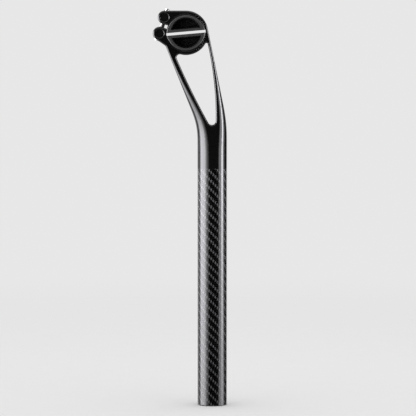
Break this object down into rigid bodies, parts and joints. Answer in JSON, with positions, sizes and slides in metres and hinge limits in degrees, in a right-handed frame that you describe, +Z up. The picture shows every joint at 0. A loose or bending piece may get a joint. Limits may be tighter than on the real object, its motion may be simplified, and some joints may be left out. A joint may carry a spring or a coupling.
{
  "type": "bicycle seatpost",
  "caption": "Round carbon seatpost set back at the top, with a split neck, a slit clamp ring and a tilting clamp that holds the saddle rails.",
  "frame": {"origin": "centre of the shaft's foot", "axes": "+Z up the shaft, +X to the front of the bicycle, Y across it"},
  "size_m": [0.068, 0.0536, 0.3658],
  "materials": {
    "carbon": "clear-coated carbon, gloss",
    "black_alloy": "black anodised, satin",
    "bolt_steel": "bright"
  },
  "bodies": {
    "seatpost": {"post": "carbon", "barrel_nut": "black_alloy", "barrel_seat": "black_alloy", "clamp_bolt": "bolt_steel"},
    "saddle_clamp": {"upper_rail_clamp": "black_alloy", "lower_rail_clamp": "black_alloy"}
  },
  "joints": [
    {"name": "saddle_tilt", "type": "hinge", "parent": "seatpost", "child": "saddle_clamp", "pos_m": [-0.024, 0, 0.343], "axis": [0, -1, 0], "range_deg": [-25, 25]}
  ]
}
